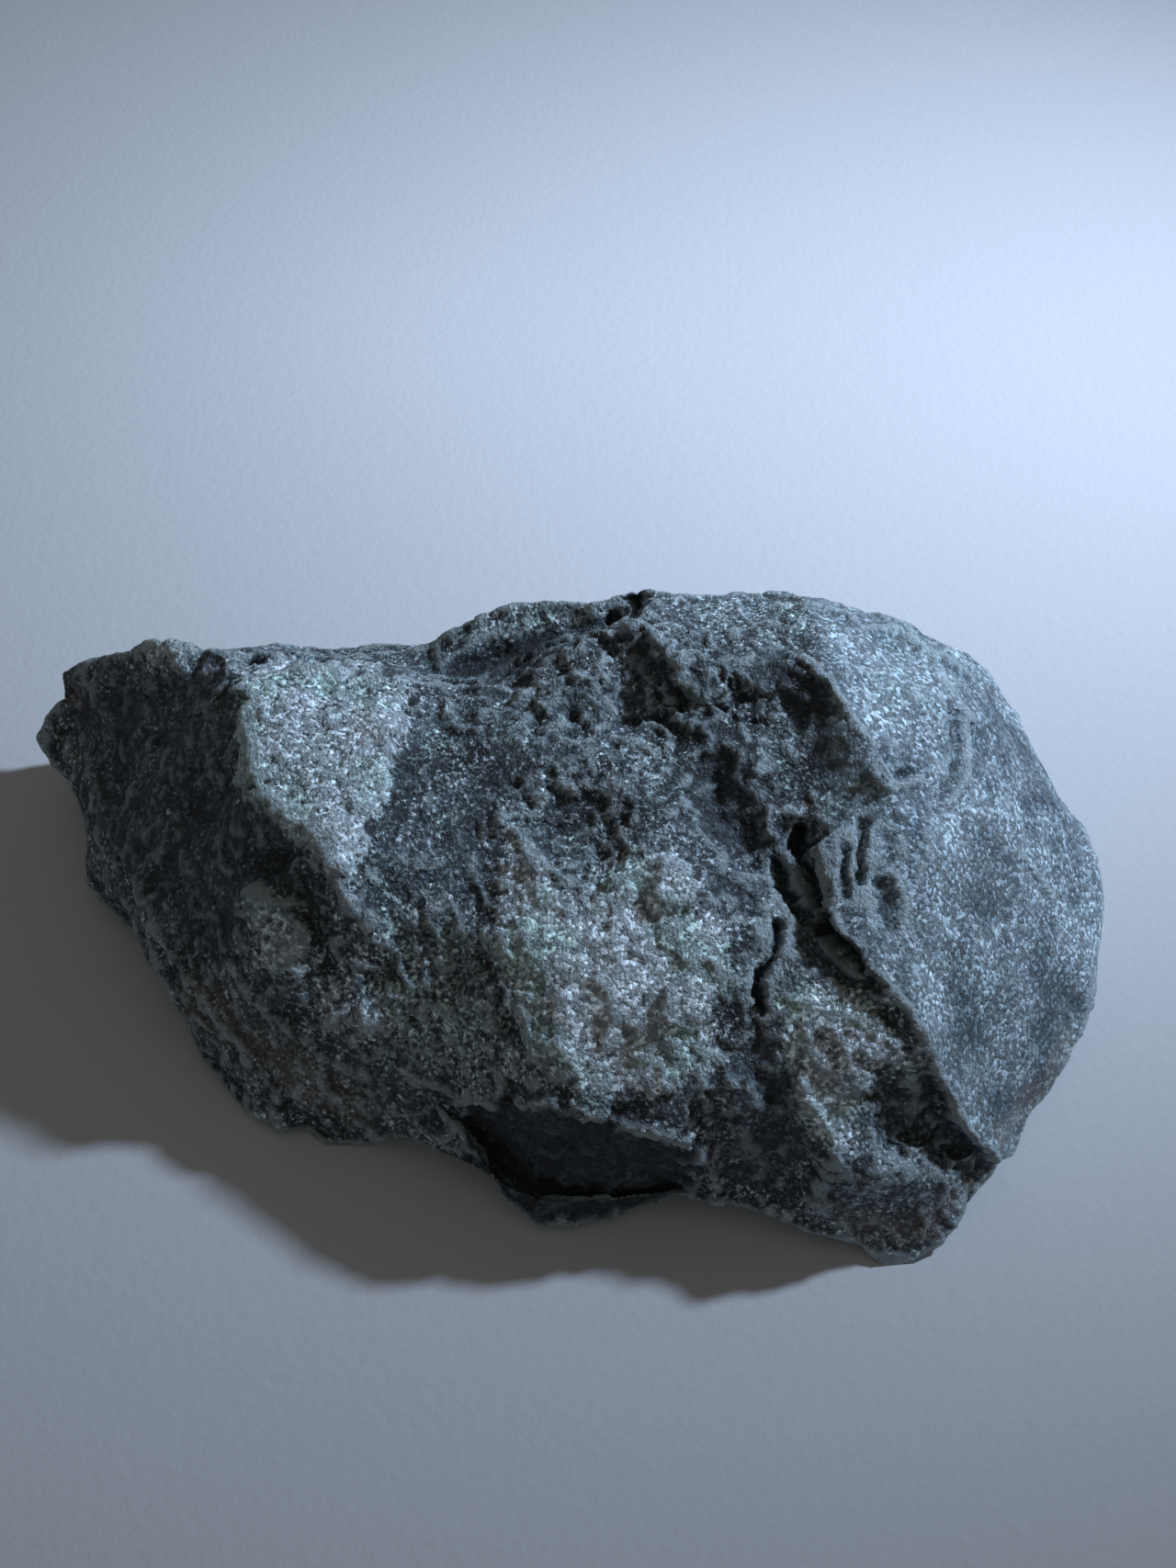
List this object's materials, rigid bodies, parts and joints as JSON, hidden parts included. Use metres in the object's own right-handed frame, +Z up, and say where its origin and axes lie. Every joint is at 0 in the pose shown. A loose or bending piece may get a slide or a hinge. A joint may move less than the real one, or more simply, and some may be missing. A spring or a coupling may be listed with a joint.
{
  "type": "raw pyrophyllite stone",
  "caption": "Hand-sized lump of raw pyrophyllite, a soft dark blue-grey stone as broken from the rock, lying on a flat parting face.",
  "frame": {"origin": "on the flat underside, below the middle of the stone's box", "axes": "+X along the length, from the thin left end to the rounded right end; +Y to the steep back; +Z up"},
  "size_m": [0.1052, 0.0636, 0.0316],
  "materials": {
    "pyrophyllite": "rough break, faintly pearly grains"
  },
  "bodies": {
    "root": {"stone": "pyrophyllite"}
  },
  "joints": []
}
